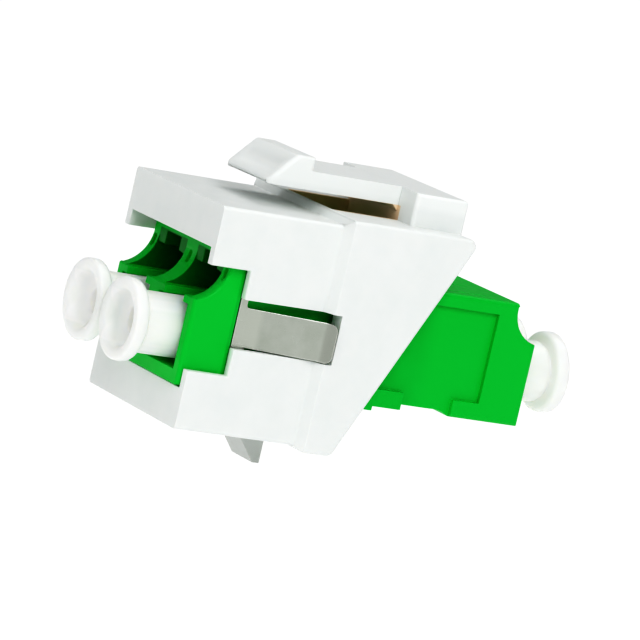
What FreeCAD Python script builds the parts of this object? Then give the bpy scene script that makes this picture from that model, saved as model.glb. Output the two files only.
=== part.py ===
import FreeCAD, Part
import math
import os
import Sketcher

# Fibre optic keystone jack: a white keystone housing with a latch lever, a green duplex
# adapter held in it by a steel clip, two ceramic sleeves inside and four dust caps.
# Origin: the middle of the housing's front face. +Z is up, the front faces -Y.
# The row of sizes below drives every piece. All are in millimetres.

DRIVING_SIZES = (
    ("front_height", 16.4, "height of the front box, which enters the panel opening"),
    ("front_side", 0.7, "wall on each side of the window in the front"),
    ("front_wall", 1.4, "thickness of the housing's front wall"),
    ("shoulder_start", 9.8, "depth at which the shoulder ramp leaves the front box"),
    ("shoulder_ramp", 0.55, "length of the shoulder ramp"),
    ("wing_gap", 0.15, "gap between the adapter and each wing"),
    ("wing_wall", 1.43, "thickness of a wing"),
    ("wing_rise", 0.57, "how far the wings' top edge stands over the front box"),
    ("wing_drop", 0.3, "how far the wings' lower edge reaches below the front box"),
    ("wing_foot", 2.3, "length of the wings' lower edge behind the shoulder"),
    ("wing_rake", 8.35, "how much further back the wings' top edge ends"),
    ("wing_corner", 0.6, "rounding of the wings' two rear corners"),
    ("roof_wall", 0.9, "thickness of the front box's roof"),
    ("floor_wall", 1.2, "thickness of the front box's floor"),
    ("notch_depth", 3.26, "depth of the notch in each side of the front"),
    ("notch_height", 7.74, "height of that notch"),
    ("slot_height", 3.66, "height of the window that the clip tongue looks out of"),
    ("slot_middle", -0.05, "height of the middle of that window"),
    ("well_gap", 0.3, "distance of the well under the latch arm from the shoulder"),
    ("root_set_back", 0.58, "distance of the latch's root block from the wings' top end"),
    ("root_length", 4.42, "length of the block that carries the latch arm"),
    ("root_width", 12.0, "width of that block"),
    ("tooth_width", 3.3, "width of the fixed tooth underneath"),
    ("tooth_start", 7.75, "where the tooth's ramp leaves the underside"),
    ("tooth_length", 2.77, "length of the tooth up to its catching face"),
    ("tooth_flat", 0.6, "length of the tooth's lowest flat"),
    ("tooth_depth", 2.67, "how far the tooth's tip reaches below the front box"),
    ("window_gap", 0.32, "gap over the adapter in the front wall's window"),
    ("rail_width", 1.0, "width of the four guide rails in the cavity"),
    ("rail_spacing", 8.6, "distance between the rails' middles"),
    ("edge_round", 0.3, "small rounding of moulded edges"),
    ("arm_width", 7.0, "width of the latch arm and its thumb tab"),
    ("arm_lift", 1.62, "height of the arm's underside over the front box"),
    ("arm_thickness", 1.4, "thickness of the latch arm"),
    ("arm_gusset", 0.45, "thickening of the arm where it bends"),
    ("tab_start", 5.0, "front edge of the thumb tab"),
    ("tab_nose", 0.3, "height of that front edge"),
    ("tab_bevel", 0.15, "bevel under that front edge"),
    ("tab_slope", 2.0, "length of the tab's slope up to its flat top"),
    ("tab_flat", 1.55, "length of that flat top"),
    ("tab_rise", 1.0, "height of the tab over the arm"),
    ("tab_round", 0.35, "rounding of the tab's edges"),
    ("scoop_radius", 3.0, "radius of the finger scoop in the tab"),
    ("scoop_depth", 0.22, "depth of the finger scoop"),
    ("adapter_front", 0.25, "how far the adapter stands proud of the housing's front"),
    ("adapter_end", 28.5, "rear end of the adapter"),
    ("port_pitch", 6.25, "distance between the two fibre axes"),
    ("axis_height", -1.5, "height of the fibre axes"),
    ("port_width", 4.68, "width of a port, and height of a rear port"),
    ("port_side", 0.985, "wall beside a port"),
    ("port_drop", 0.33, "how much deeper than wide a front port reaches below its axis"),
    ("port_floor", 1.0, "thickness of the wall under the front ports"),
    ("rear_floor", 0.81, "thickness of the wall under the rear ports"),
    ("roof_drop", 0.24, "how far the lips over a front port hang into its square"),
    ("lip", 0.57, "thickness of those lips"),
    ("latch_slot_width", 3.1, "width of the slot above each port"),
    ("channel_width", 4.4, "width of the channel that takes the plug's latch"),
    ("channel_height", 2.05, "height of that channel"),
    ("keyway_width", 2.3, "width of the keyway above the channel"),
    ("keyway_height", 1.0, "height of that keyway"),
    ("top_wall", 0.53, "thickness of the wall over the keyways"),
    ("rear_step", 0.3, "how much lower the rear shell's top lies"),
    ("shell_round", 0.35, "rounding of the adapter's outer edges"),
    ("fit_gap", 0.1, "clearance round the adapter in the housing"),
    ("dimple_width", 0.45, "width of the dimples beside the keyways"),
    ("dimple_height", 1.1, "height of those dimples"),
    ("dimple_depth", 0.25, "depth of those dimples"),
    ("channel_stop", 2.6, "distance of the channels' blind ends from the seam"),
    ("scoop_face", 2.05, "depth of the front upper face"),
    ("scoop_bend", 2.92, "radius of the hollow below the front upper face"),
    ("rear_scoop_face", 2.12, "depth of the rear upper face"),
    ("rear_scoop_bend", 2.45, "radius of the hollow below the rear upper face"),
    ("scoop_drop", 0.75, "distance of both hollows from the front shell's top"),
    ("front_tip_drop", 0.02, "how far the front tips lie below the lips' top"),
    ("rear_tip_rise", 0.4, "how far the rear tips lie over the lips' top"),
    ("web", 1.5, "wall on each side of the seam that carries the barrels"),
    ("ferrule_radius", 0.625, "radius of the sleeve's bore, which takes a 1.25 mm ferrule"),
    ("sleeve_wall", 0.225, "wall of the ceramic sleeve"),
    ("sleeve_length", 6.8, "length of the ceramic sleeve"),
    ("sleeve_slit", 0.3, "width of the slit along the sleeve"),
    ("sleeve_play", 0.05, "end play of the sleeve in its seat"),
    ("seat_gap", 0.04, "clearance round the sleeve in its seat"),
    ("mouth_gap", 0.165, "how much wider than the ferrule the lip before the sleeve is all round"),
    ("mouth_room", 0.1, "how much wider than the sleeve's seat the barrel's mouth is all round"),
    ("lip_length", 0.6, "length of that lip, which keeps the sleeve in its seat"),
    ("barrel_wall", 0.61, "wall of a barrel round the sleeve's seat"),
    ("barrel_length", 6.1, "length of a barrel in front of its web"),
    ("recess_top_rim", 1.32, "distance of the side recess from the front shell's top"),
    ("recess_foot_rim", 1.3, "distance of the side recess from the rear shell's underside"),
    ("recess_rear_rim", 3.7, "distance of the side recess from the rear end"),
    ("foot_length", 5.9, "length of the thicker foot under the rear shell"),
    ("step_length", 1.6, "length of the curved step down to that foot"),
    ("step_bend", 2.6, "radius of that step"),
    ("skirt_length", 1.875, "length of the skirt behind the seam"),
    ("skirt_step", 0.19, "how much higher than the front shell's underside the skirt is"),
    ("block_length", 4.225, "length of the block behind the seam"),
    ("waist_depth", 0.35, "how much thinner the shell is between block and foot"),
    ("groove_rim", 4.4, "distance of the two narrow grooves on the rear top from the rear end"),
    ("groove_spacing", 10.0, "distance between those grooves"),
    ("groove_width", 0.22, "width of those grooves"),
    ("groove_depth", 0.3, "depth of those grooves"),
    ("wedge_place", 2.875, "distance of all four grooves on the rear top from the seam"),
    ("wedge_spacing", 3.3, "distance between the tapering grooves"),
    ("wedge_width", 1.6, "width of the tapering grooves at their wide end"),
    ("steel", 0.3, "thickness of the clip's spring steel"),
    ("clip_gap", 0.03, "clearance between the clip and the adapter"),
    ("clip_sink", 0.07, "how far the clip lies below the adapter's sides"),
    ("band_set_back", 0.19, "distance of the clip's band from the notches"),
    ("band_width", 1.1, "width of the clip's band"),
    ("band_room", 0.1, "room in front of the band and behind it"),
    ("band_foot", 2.6, "how far the band reaches down below the middle"),
    ("tongue_gap", 0.08, "gap below a clip tongue in its window"),
    ("tongue_room", 0.68, "gap over a clip tongue in its window"),
    ("tongue_bend", 10.0, "where the tongue kinks outwards"),
    ("tongue_lean", 1.35, "how far the tongue leans out up to that kink"),
    ("tip_length", 0.8, "length of the tongue's tip behind the kink"),
    ("tip_flare", 0.7, "how far the tip flares out beyond the kink"),
    ("tip_gap", 0.16, "gap behind the tongue's tip in its window"),
    ("tip_corner", 0.55, "rounding of the tongue's two free corners"),
    ("cap_gap", 0.06, "clearance of a dust cap in its port"),
    ("cap_lip", 0.75, "how far the rim stands out over the stem"),
    ("cap_rim", 1.1, "thickness of the rim"),
    ("cap_neck", 0.3, "width of the groove behind the rim"),
    ("cap_neck_depth", 0.23, "depth of that groove"),
    ("cap_stand_out", 4.0, "how far a front cap stands out of the adapter"),
    ("rear_cap_stand_out", 3.75, "how far a rear cap stands out of the adapter"),
    ("cap_length", 12.0, "whole length of a cap"),
    ("cap_bowl", 1.3, "depth of the bowl in its outer face"),
    ("cap_bowl_rim", 0.31, "width of the flat rim round the bowl"),
    ("cap_hole_radius", 1.0, "radius of the small hole in the bowl"),
    ("cap_hole_depth", 1.7, "depth of that hole below the bowl"),
    ("cap_web", 1.0, "wall between that hole and the bore"),
    ("cap_bore_gap", 0.22, "clearance of the cap's bore round the barrel"),
    ("cap_bevel", 0.15, "small bevels on the cap"),
    ("cap_slant", 3.6, "angle in degrees by which the rear caps point upwards"),
)

# These follow from the sizes above, so that the pieces keep fitting when one of them changes.

FOLLOWING_SIZES = (
    ("adapter_width", "port_pitch + port_width + 2 * port_side", "width of the duplex adapter"),
    ("front_width", "adapter_width + 2 * (fit_gap + front_side)", "width of the front box"),
    ("wing_width", "adapter_width + 2 * (wing_gap + wing_wall)", "width across the wings"),
    ("shoulder_end", "shoulder_start + shoulder_ramp", "rear end of the shoulder ramp"),
    ("wing_foot_end", "shoulder_end + wing_foot", "rear end of the wings' lower edge"),
    ("wing_top_end", "wing_foot_end + wing_rake", "rear end of the wings' top edge"),
    ("wing_top", "front_height / 2 + wing_rise", "height of the wings' top edge"),
    ("wing_bottom", "front_height / 2 + wing_drop", "depth of the wings' lower edge"),
    ("cavity_top", "front_height / 2 - roof_wall", "ceiling of the housing's cavity"),
    ("cavity_bottom", "front_height / 2 - floor_wall", "depth of the cavity's floor"),
    ("root_end", "wing_top_end - root_set_back", "rear face of the latch's root block"),
    ("root_start", "root_end - root_length", "front face of that block"),
    ("well_start", "shoulder_end + well_gap", "front edge of the well under the arm"),
    ("tooth_end", "tooth_start + tooth_length", "catching face of the tooth"),
    ("tooth_bottom", "front_height / 2 + tooth_depth", "depth of the tooth's tip"),
    ("arm_bottom", "front_height / 2 + arm_lift", "height of the arm's underside"),
    ("arm_top", "arm_bottom + arm_thickness", "height of the arm's top"),
    ("tab_ridge", "tab_start + tab_slope", "front end of the tab's flat top"),
    ("tab_rear", "tab_ridge + tab_flat", "catching face at the back of the thumb tab"),
    ("tab_top", "arm_top + tab_rise", "height of the thumb tab"),
    ("front_port_floor", "-axis_height + port_width / 2 + port_drop", "depth of the front ports"),
    ("front_bottom", "front_port_floor + port_floor", "depth of the front shell's underside"),
    ("rear_bottom", "-axis_height + port_width / 2 + rear_floor", "depth of the rear underside"),
    ("port_roof", "axis_height + port_width / 2 - roof_drop", "underside of the front lips"),
    ("latch_lip", "port_roof + lip", "top of those lips"),
    ("front_top", "latch_lip + channel_height + keyway_height + top_wall", "top of the front shell"),
    ("rear_top", "front_top - rear_step", "top of the rear shell"),
    ("window_top", "front_top + window_gap", "top of the window in the front wall"),
    ("scoop_height", "front_top - scoop_drop", "height at which both hollows begin"),
    ("front_tip", "latch_lip - front_tip_drop", "height of the front tips below their hollow"),
    ("rear_tip", "latch_lip + rear_tip_rise", "height of the rear tips below their hollow"),
    ("adapter_seam", "(adapter_end - adapter_front) / 2", "weld seam between the two shells"),
    ("skirt_end", "adapter_seam + skirt_length", "rear end of the skirt at the seam"),
    ("skirt_bottom", "front_bottom - skirt_step", "depth of that skirt's underside"),
    ("block_end", "adapter_seam + block_length", "rear end of the block behind the housing"),
    ("foot_start", "adapter_end - foot_length", "front of the foot under the rear shell"),
    ("step_start", "foot_start - step_length", "start of the curved step down to that foot"),
    ("recess_depth", "steel + clip_gap + clip_sink", "depth of the recess in the sides"),
    ("recess_top", "front_top - recess_top_rim", "height of that recess's upper edge"),
    ("recess_bottom", "rear_bottom - recess_foot_rim", "depth of its lower edge"),
    ("recess_end", "adapter_end - recess_rear_rim", "rear end of that recess"),
    ("groove_end", "adapter_end - groove_rim", "rear end of the grooves on the rear top"),
    ("wedge_start", "adapter_seam + wedge_place", "front end of those grooves"),
    ("band_start", "notch_depth + band_set_back", "front edge of the clip's band"),
    ("band_end", "band_start + band_width", "rear edge of the clip's band"),
    ("tongue_bottom", "slot_middle - slot_height / 2 + tongue_gap", "lower edge of a tongue"),
    ("tongue_height", "slot_height - tongue_gap - tongue_room", "height of a clip tongue"),
    ("tongue_tip", "tongue_bend + tip_length", "end of the tongue"),
    ("slot_end", "tongue_tip + tip_gap", "rear end of the tongue's window"),
    ("sleeve_radius", "ferrule_radius + sleeve_wall", "outer radius of the ceramic sleeve"),
    ("sleeve_seat", "sleeve_radius + seat_gap", "radius of the seat that traps the sleeve"),
    ("barrel_mouth", "sleeve_seat + mouth_room", "radius of the barrel's mouth"),
    ("barrel_bore", "ferrule_radius + mouth_gap", "radius of the lip before the sleeve"),
    ("barrel_radius", "sleeve_seat + barrel_wall", "outer radius of a ferrule barrel"),
    ("cap_radius", "port_width / 2 - cap_gap", "radius of a dust cap's stem"),
    ("cap_rim_radius", "cap_radius + cap_lip", "radius of its rim"),
    ("cap_neck_radius", "cap_radius - cap_neck_depth", "radius at the bottom of its groove"),
    ("cap_bowl_radius", "cap_rim_radius - cap_bowl_rim", "radius of the bowl's mouth"),
    ("cap_bore", "barrel_radius + cap_bore_gap", "radius of the bore that goes over the barrel"),
)

REACH = "60"  # longer than the whole jack, for cuts that go right through

doc = FreeCAD.newDocument("keystone_jack")
sheet = doc.addObject("Spreadsheet::Sheet", "size")
for row, (alias, amount, meaning) in enumerate(DRIVING_SIZES, start=1):
    sheet.set(f"A{row}", meaning)
    sheet.set(f"B{row}", str(amount))
    sheet.setAlias(f"B{row}", alias)
for row, (alias, amount, meaning) in enumerate(FOLLOWING_SIZES, start=len(DRIVING_SIZES) + 1):
    sheet.set(f"A{row}", meaning)
    sheet.set(f"B{row}", f"={amount}")
    sheet.setAlias(f"B{row}", alias)
doc.recompute()


def number(expression):
    """The present value of an expression over the sheet's sizes."""
    return float(sheet.evalExpression(expression))


# Sketches

def new_body(name):
    body = doc.addObject("PartDesign::Body", name)
    body.Label = name
    return body


def new_sketch(body, name, role, place):
    """A sketch on one of the body's own planes, moved along that plane's axis to place."""
    sketch = body.newObject("Sketcher::SketchObject", name)
    plane = [feature for feature in body.Origin.OriginFeatures if feature.Role == role][0]
    sketch.AttachmentSupport = [(plane, "")]
    sketch.MapMode = "FlatFace"
    # The XZ plane looks towards -Y, so a place along +Y is counted backwards there.
    backwards = "-1 * " if role == "XZ_Plane" else ""
    sketch.setExpression("AttachmentOffset.Base.z", f"{backwards}({place})")
    return sketch


def bind(sketch, constraint, name, expression):
    index = sketch.addConstraint(constraint)
    sketch.renameConstraint(index, name)
    sketch.setExpression(f"Constraints.{name}", expression)


def add_arc(sketch, start, end, radius):
    """An arc from start to end, turning left if radius is positive and right if negative.

    Returns the numbers of its start point and of its end point.
    """
    turn = math.copysign(1, radius)
    chord = end - start
    rise = math.sqrt(radius**2 - (chord.Length / 2) ** 2)
    leftwards = FreeCAD.Vector(-chord.y, chord.x, 0).normalize()
    middle = start + chord / 2 + leftwards * rise * turn
    first, last = (start, end) if turn > 0 else (end, start)
    first_angle = math.atan2(first.y - middle.y, first.x - middle.x)
    last_angle = math.atan2(last.y - middle.y, last.x - middle.x)
    circle = Part.Circle(middle, FreeCAD.Vector(0, 0, 1), abs(radius))
    sketch.addGeometry(Part.ArcOfCircle(circle, first_angle, last_angle))
    return (1, 2) if turn > 0 else (2, 1)


def draw_outline(sketch, corners):
    """A closed outline through corners, each a pair of expressions.

    A third expression bends the side that follows the corner into an arc of that radius.
    """
    points = [FreeCAD.Vector(number(corner[0]), number(corner[1]), 0) for corner in corners]
    count = len(points)
    ends = []
    for index, corner in enumerate(corners):
        start, end = points[index], points[(index + 1) % count]
        if len(corner) == 3:
            ends.append(add_arc(sketch, start, end, number(corner[2])))
        else:
            sketch.addGeometry(Part.LineSegment(start, end))
            ends.append((1, 2))
    for index in range(count):
        after = (index + 1) % count
        sketch.addConstraint(Sketcher.Constraint("Coincident", index, ends[index][1], after, ends[after][0]))
    for index, corner in enumerate(corners):
        point = points[index]
        start = ends[index][0]
        across = Sketcher.Constraint("DistanceX", -1, 1, index, start, point.x)
        up = Sketcher.Constraint("DistanceY", -1, 1, index, start, point.y)
        bind(sketch, across, f"across_{index}", corner[0])
        bind(sketch, up, f"up_{index}", corner[1])
        if len(corner) == 3:
            size = Sketcher.Constraint("Radius", index, abs(number(corner[2])))
            bind(sketch, size, f"bend_{index}", f"abs({corner[2]})")


def draw_circle(sketch, across, up, radius):
    """A circle whose middle and radius are expressions."""
    middle = FreeCAD.Vector(number(across), number(up), 0)
    index = sketch.addGeometry(Part.Circle(middle, FreeCAD.Vector(0, 0, 1), number(radius)))
    bind(sketch, Sketcher.Constraint("DistanceX", -1, 1, index, 3, middle.x), f"across_{index}", across)
    bind(sketch, Sketcher.Constraint("DistanceY", -1, 1, index, 3, middle.y), f"up_{index}", up)
    bind(sketch, Sketcher.Constraint("Radius", index, number(radius)), f"radius_{index}", radius)


def rectangle(low_across, high_across, low_up, high_up):
    return (
        (low_across, low_up),
        (high_across, low_up),
        (high_across, high_up),
        (low_across, high_up),
    )


def centred(width, low_up, high_up):
    return rectangle(f"-({width}) / 2", f"({width}) / 2", low_up, high_up)


# Features

def extend(body, name, role, shape, place, length, cut=False):
    """Pad or pocket a shape from place, along the plane's positive axis, by length.

    shape is a list of corners, or a circle as ("circle", across, up, radius).
    """
    before = body.Shape.Volume if body.Shape.Solids else 0.0
    sketch = new_sketch(body, f"{name}_sketch", role, place)
    if shape[0] == "circle":
        draw_circle(sketch, *shape[1:])
    else:
        draw_outline(sketch, shape)
    kind = "PartDesign::Pocket" if cut else "PartDesign::Pad"
    feature = body.newObject(kind, name)
    feature.Profile = sketch
    feature.setExpression("Length", length)
    # A pad follows its sketch's normal and a pocket goes against it.
    feature.Reversed = (role == "XZ_Plane") != cut
    doc.recompute()
    after = body.Shape.Volume
    if (cut and after >= before) or (not cut and after <= before):
        raise RuntimeError(f"{body.Label}: {name} changes nothing")
    return feature


def round_edges(body, name, radius, wanted, bevel=False):
    """Round, or bevel, the edges of the body that pass a test."""
    tip = body.Tip
    names = []
    for index, edge in enumerate(tip.Shape.Edges, start=1):
        if wanted(edge):
            names.append(f"Edge{index}")
    if not names:
        raise RuntimeError(f"{body.Label}: {name} finds no edge")
    feature = body.newObject("PartDesign::Chamfer" if bevel else "PartDesign::Fillet", name)
    feature.Base = (tip, names)
    feature.setExpression("Size" if bevel else "Radius", radius)
    doc.recompute()
    if feature.Shape.isNull() or "Invalid" in feature.State:
        raise RuntimeError(f"{body.Label}: {name} can't be made on {names}")


def near(first, second, slack=0.01):
    return abs(first - second) < slack


def straight_along(edge, axis):
    """Whether an edge is a straight line along the named axis."""
    if not isinstance(edge.Curve, (Part.Line, Part.LineSegment)):
        return False
    direction = edge.tangentAt(edge.FirstParameter)
    return near(abs(getattr(direction, axis)), 1)


SIDES = (("left", -1), ("right", 1))


def port_middle(sign):
    return f"{sign} * size.port_pitch / 2"


# Keystone housing

def build_housing():
    body = new_body("keystone_housing")
    half_height = "size.front_height / 2"
    shoulder_end = "size.shoulder_end"
    front_box = centred("size.front_width", f"-{half_height}", half_height)
    extend(body, "front_box", "XZ_Plane", front_box, "0", "size.shoulder_start")

    # The shoulder widens the front box to the wings on all four sides.
    ramp_foot = new_sketch(body, "ramp_foot", "XZ_Plane", "size.shoulder_start")
    draw_outline(ramp_foot, front_box)
    ramp_head = new_sketch(body, "ramp_head", "XZ_Plane", shoulder_end)
    draw_outline(ramp_head, centred("size.wing_width", "-size.wing_bottom", "size.wing_top"))
    ramp = body.newObject("PartDesign::AdditiveLoft", "shoulder")
    ramp.Profile = ramp_foot
    ramp.Sections = [ramp_head]
    ramp.Ruled = True
    doc.recompute()

    wings = (
        (shoulder_end, "-size.wing_bottom"),
        ("size.wing_foot_end", "-size.wing_bottom"),
        ("size.wing_top_end", "size.wing_top"),
        (shoulder_end, "size.wing_top"),
    )
    extend(body, "wings", "YZ_Plane", wings, "-size.wing_width / 2", "size.wing_width")
    half_wing = number("size.wing_width / 2")
    foot_end = number("size.wing_foot_end")
    wing_top = number("size.wing_top")

    def rear_wing_corner(edge):
        middle = edge.CenterOfMass
        return straight_along(edge, "x") and (
            (near(middle.y, foot_end) and middle.z < 0)
            or (near(middle.y, number("size.wing_top_end")) and near(middle.z, wing_top))
        )

    round_edges(body, "wing_corners", "size.wing_corner", rear_wing_corner)

    def long_outer_edge(edge):
        middle = edge.CenterOfMass
        on_wing = near(abs(middle.x), half_wing) and middle.y > number(shoulder_end) + 0.1
        return on_wing or (near(abs(middle.x), number("size.front_width / 2")) and not near(middle.y, 0))

    round_edges(body, "outer_edges", "size.edge_round", long_outer_edge)

    root_top = "size.arm_top"
    root = rectangle("-size.root_width / 2", "size.root_width / 2", "size.root_start", "size.root_end")
    extend(body, "latch_root", "XY_Plane", root, "size.cavity_top", f"{root_top} - size.cavity_top")
    root_end = number("size.root_end")
    root_height = number(root_top)

    def root_edge(edge):
        middle = edge.CenterOfMass
        at_side = near(abs(middle.x), number("size.root_width / 2")) and middle.z > wing_top + 0.1
        at_rear_top = near(middle.y, root_end) and near(middle.z, root_height)
        return (at_side or at_rear_top) and not near(middle.z, wing_top)

    round_edges(body, "root_edges", "size.edge_round", root_edge)

    tooth = (
        ("size.tooth_start", "-size.front_height / 2 + 1"),
        ("size.tooth_start", "-size.front_height / 2"),
        ("size.tooth_end - size.tooth_flat", "-size.tooth_bottom"),
        ("size.tooth_end", "-size.tooth_bottom"),
        ("size.tooth_end", "-size.front_height / 2 + 1"),
    )
    extend(body, "tooth", "YZ_Plane", tooth, "-size.tooth_width / 2", "size.tooth_width")

    # What the adapter needs: cavity, window in the front, notch and clip window in each side.
    inside = "size.adapter_width + 2 * size.fit_gap"
    cavity = centred("size.wing_width - 2 * size.wing_wall", "-size.cavity_bottom", "size.cavity_top")
    extend(body, "cavity", "XZ_Plane", cavity, "size.front_wall", REACH, cut=True)
    window = centred(inside, "-size.front_bottom - size.fit_gap", "size.window_top")
    extend(body, "front_window", "XZ_Plane", window, "-1", "size.front_wall + 2", cut=True)
    notch = rectangle("-1", "size.notch_depth", "-size.notch_height / 2", "size.notch_height / 2")
    extend(body, "side_notches", "YZ_Plane", notch, f"-{REACH} / 2", REACH, cut=True)
    slot = rectangle(
        "size.notch_depth - 1",
        "size.slot_end",
        "size.slot_middle - size.slot_height / 2",
        "size.slot_middle + size.slot_height / 2",
    )
    extend(body, "clip_windows", "YZ_Plane", slot, f"-{REACH} / 2", REACH, cut=True)
    well_width = "size.arm_width + 2 * size.fit_gap"
    well = rectangle(f"-({well_width}) / 2", f"({well_width}) / 2", "size.well_start", "size.root_start")
    well_depth = "size.wing_top - size.cavity_top + 2"
    extend(body, "latch_well", "XY_Plane", well, "size.cavity_top - 1", well_depth, cut=True)

    # Two rails over and two under the adapter steady it behind the window.
    rail_place = "size.band_end + 3 * size.band_room"
    rail_length = f"size.shoulder_start - ({rail_place})"
    for side, sign in SIDES:
        low = f"{sign} * size.rail_spacing / 2 - size.rail_width / 2"
        high = f"{sign} * size.rail_spacing / 2 + size.rail_width / 2"
        upper = rectangle(low, high, "size.front_top + size.fit_gap", "size.cavity_top + 0.1")
        lower = rectangle(low, high, "-size.cavity_bottom - 0.1", "-size.front_bottom - size.fit_gap")
        extend(body, f"upper_rail_{side}", "XZ_Plane", upper, rail_place, rail_length)
        extend(body, f"lower_rail_{side}", "XZ_Plane", lower, rail_place, rail_length)
    return body


# Latch lever: arm and thumb tab, bending where it meets the root block

def build_latch():
    body = new_body("latch_lever")
    arm_top = "size.arm_top"
    nose = "size.arm_bottom + size.tab_nose"
    profile = (
        ("size.root_start", "size.arm_bottom - size.arm_gusset"),
        ("size.root_start - size.arm_gusset", "size.arm_bottom"),
        ("size.tab_start + size.tab_bevel", "size.arm_bottom"),
        ("size.tab_start", "size.arm_bottom + size.tab_bevel"),
        ("size.tab_start", nose),
        ("size.tab_ridge", "size.tab_top"),
        ("size.tab_rear", "size.tab_top"),
        ("size.tab_rear", arm_top),
        ("size.root_start", arm_top),
    )
    extend(body, "lever_profile", "YZ_Plane", profile, "-size.arm_width / 2", "size.arm_width")
    ridge = number("size.tab_ridge")
    tab_rear = number("size.tab_rear")
    tab_top = number("size.tab_top")
    half_arm = number("size.arm_width / 2")

    def ridge_edge(edge):
        middle = edge.CenterOfMass
        return straight_along(edge, "x") and near(middle.y, ridge) and near(middle.z, tab_top)

    round_edges(body, "ridge", "size.tab_round", ridge_edge)

    def tab_side_edge(edge):
        middle = edge.CenterOfMass
        above_arm = middle.z > number(arm_top) + 0.05 or (middle.y < ridge and middle.z > number(nose) + 0.1)
        return near(abs(middle.x), half_arm) and above_arm and middle.y < tab_rear + 0.01

    round_edges(body, "tab_sides", "size.tab_round", tab_side_edge)

    # A finger scoop hollows the slope between two rims.
    run = "(size.tab_ridge - size.tab_start)"
    rise = f"(size.tab_top - {nose})"
    slope = f"sqrt({run} * {run} + {rise} * {rise})"
    lift = "(size.scoop_radius - size.scoop_depth)"
    scoop = (
        "circle",
        f"size.tab_start + {run} / 2 - {lift} * {rise} / {slope}",
        f"{nose} + {rise} / 2 + {lift} * {run} / {slope}",
        "size.scoop_radius",
    )
    extend(body, "finger_scoop", "YZ_Plane", scoop, "-0.38 * size.arm_width", "0.76 * size.arm_width", cut=True)
    return body


# Adapter shells

def cut_ports(body, mouth, deep, faces):
    """Cut both ports of a shell.

    mouth is where the ports start, and deep their floor, roof and length. faces holds the bay in
    front of the upper face and the channel behind it, each as (place, length).
    """
    (bay_place, bay_length), (channel_place, channel_length) = faces
    floor = deep["floor"]
    roof = deep["roof"]
    lip_top = "size.latch_lip"
    channel_top = f"{lip_top} + size.channel_height"
    for side, sign in SIDES:
        middle = port_middle(sign)

        def across(width):
            return f"{middle} - {width} / 2", f"{middle} + {width} / 2"

        steps = (
            ("port", across("size.port_width"), (floor, roof), mouth, deep["length"]),
            ("latch_slot", across("size.latch_slot_width"), (f"{roof} - 0.2", lip_top), mouth, deep["length"]),
            ("bay", across("size.latch_slot_width"), (f"{lip_top} - 0.2", "size.front_top + 1"), bay_place, bay_length),
            ("channel", across("size.channel_width"), (lip_top, channel_top), channel_place, channel_length),
            (
                "keyway",
                across("size.keyway_width"),
                (f"{channel_top} - 0.2", f"{channel_top} + size.keyway_height"),
                channel_place,
                channel_length,
            ),
        )
        for name, (low, high), (bottom, top), place, length in steps:
            shape = rectangle(low, high, bottom, top)
            extend(body, f"{name}_{side}", "XZ_Plane", shape, place, length, cut=True)


def build_barrels(body, place, length, seat_place, mouth, inwards):
    """Two barrels, each with the sleeve's seat and a sloping lip between it and the mouth.

    mouth is the barrel's open end, and inwards says whether the way in runs along +Y or -Y.
    """
    seat_length = "size.sleeve_length / 2 + size.sleeve_play"
    way_start = f"{mouth} - {inwards} * size.sleeve_length / 4"
    way_end = f"{mouth} + {inwards} * (size.barrel_length + size.web - size.sleeve_length / 2)"
    for side, sign in SIDES:
        middle = port_middle(sign)
        barrel = ("circle", middle, "size.axis_height", "size.barrel_radius")
        seat = ("circle", middle, "size.axis_height", "size.sleeve_seat")
        extend(body, f"barrel_{side}", "XZ_Plane", barrel, place, length)
        extend(body, f"sleeve_seat_{side}", "XZ_Plane", seat, seat_place, seat_length, cut=True)
        sketch = new_sketch(body, f"ferrule_way_{side}_sketch", "XY_Plane", "size.axis_height")
        sketch.setExpression("AttachmentOffset.Base.x", middle)
        way = (
            ("0", way_start),
            ("size.barrel_mouth", way_start),
            ("size.barrel_mouth", f"{way_end} - {inwards} * size.lip_length"),
            ("size.barrel_bore", way_end),
            ("0", way_end),
        )
        draw_outline(sketch, way)
        groove = body.newObject("PartDesign::Groove", f"ferrule_way_{side}")
        groove.Profile = sketch
        groove.ReferenceAxis = (sketch, ["V_Axis"])
        groove.Angle = 360
        doc.recompute()


def cut_sides(body, name, outline):
    """Cut the same outline into both sides, as deep as the recess."""
    inner = "size.adapter_width / 2 - size.recess_depth"
    extend(body, f"{name}_right", "YZ_Plane", outline, inner, "1", cut=True)
    extend(body, f"{name}_left", "YZ_Plane", outline, f"-({inner}) - 1", "1", cut=True)


def round_outside(body):
    """Round a shell's straight outer edges, but not the seam nor the steps of the underside."""
    half = number("size.adapter_width / 2")
    seam = number("size.adapter_seam")
    foot = number("size.foot_start")

    def outer_edge(edge):
        middle = edge.CenterOfMass
        stepped = seam < middle.y < foot and middle.z < 0
        straight = isinstance(edge.Curve, (Part.Line, Part.LineSegment))
        return straight and near(abs(middle.x), half) and not near(middle.y, seam) and not stepped

    round_edges(body, "outer_edges", "size.shell_round", outer_edge)


def cut_dimples(body, place):
    """Sink small oval dimples beside and between the keyways."""
    middle_height = "size.latch_lip + size.channel_height"
    half_width = "size.dimple_width / 2"
    bend = "size.dimple_width * 0.55"
    straight = "(size.dimple_height - size.dimple_width) / 2"
    outer = "(size.port_pitch / 2 + size.channel_width / 2 + size.adapter_width / 2) / 2"
    for name, middle in (("left", f"-1 * {outer}"), ("middle", "0"), ("right", outer)):
        oval = (
            (f"{middle} - {half_width}", f"{middle_height} - {straight}", bend),
            (f"{middle} + {half_width}", f"{middle_height} - {straight}"),
            (f"{middle} + {half_width}", f"{middle_height} + {straight}", bend),
            (f"{middle} - {half_width}", f"{middle_height} + {straight}"),
        )
        extend(body, f"dimple_{name}", "XZ_Plane", oval, f"{place} - 1", "size.dimple_depth + 1", cut=True)


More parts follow.
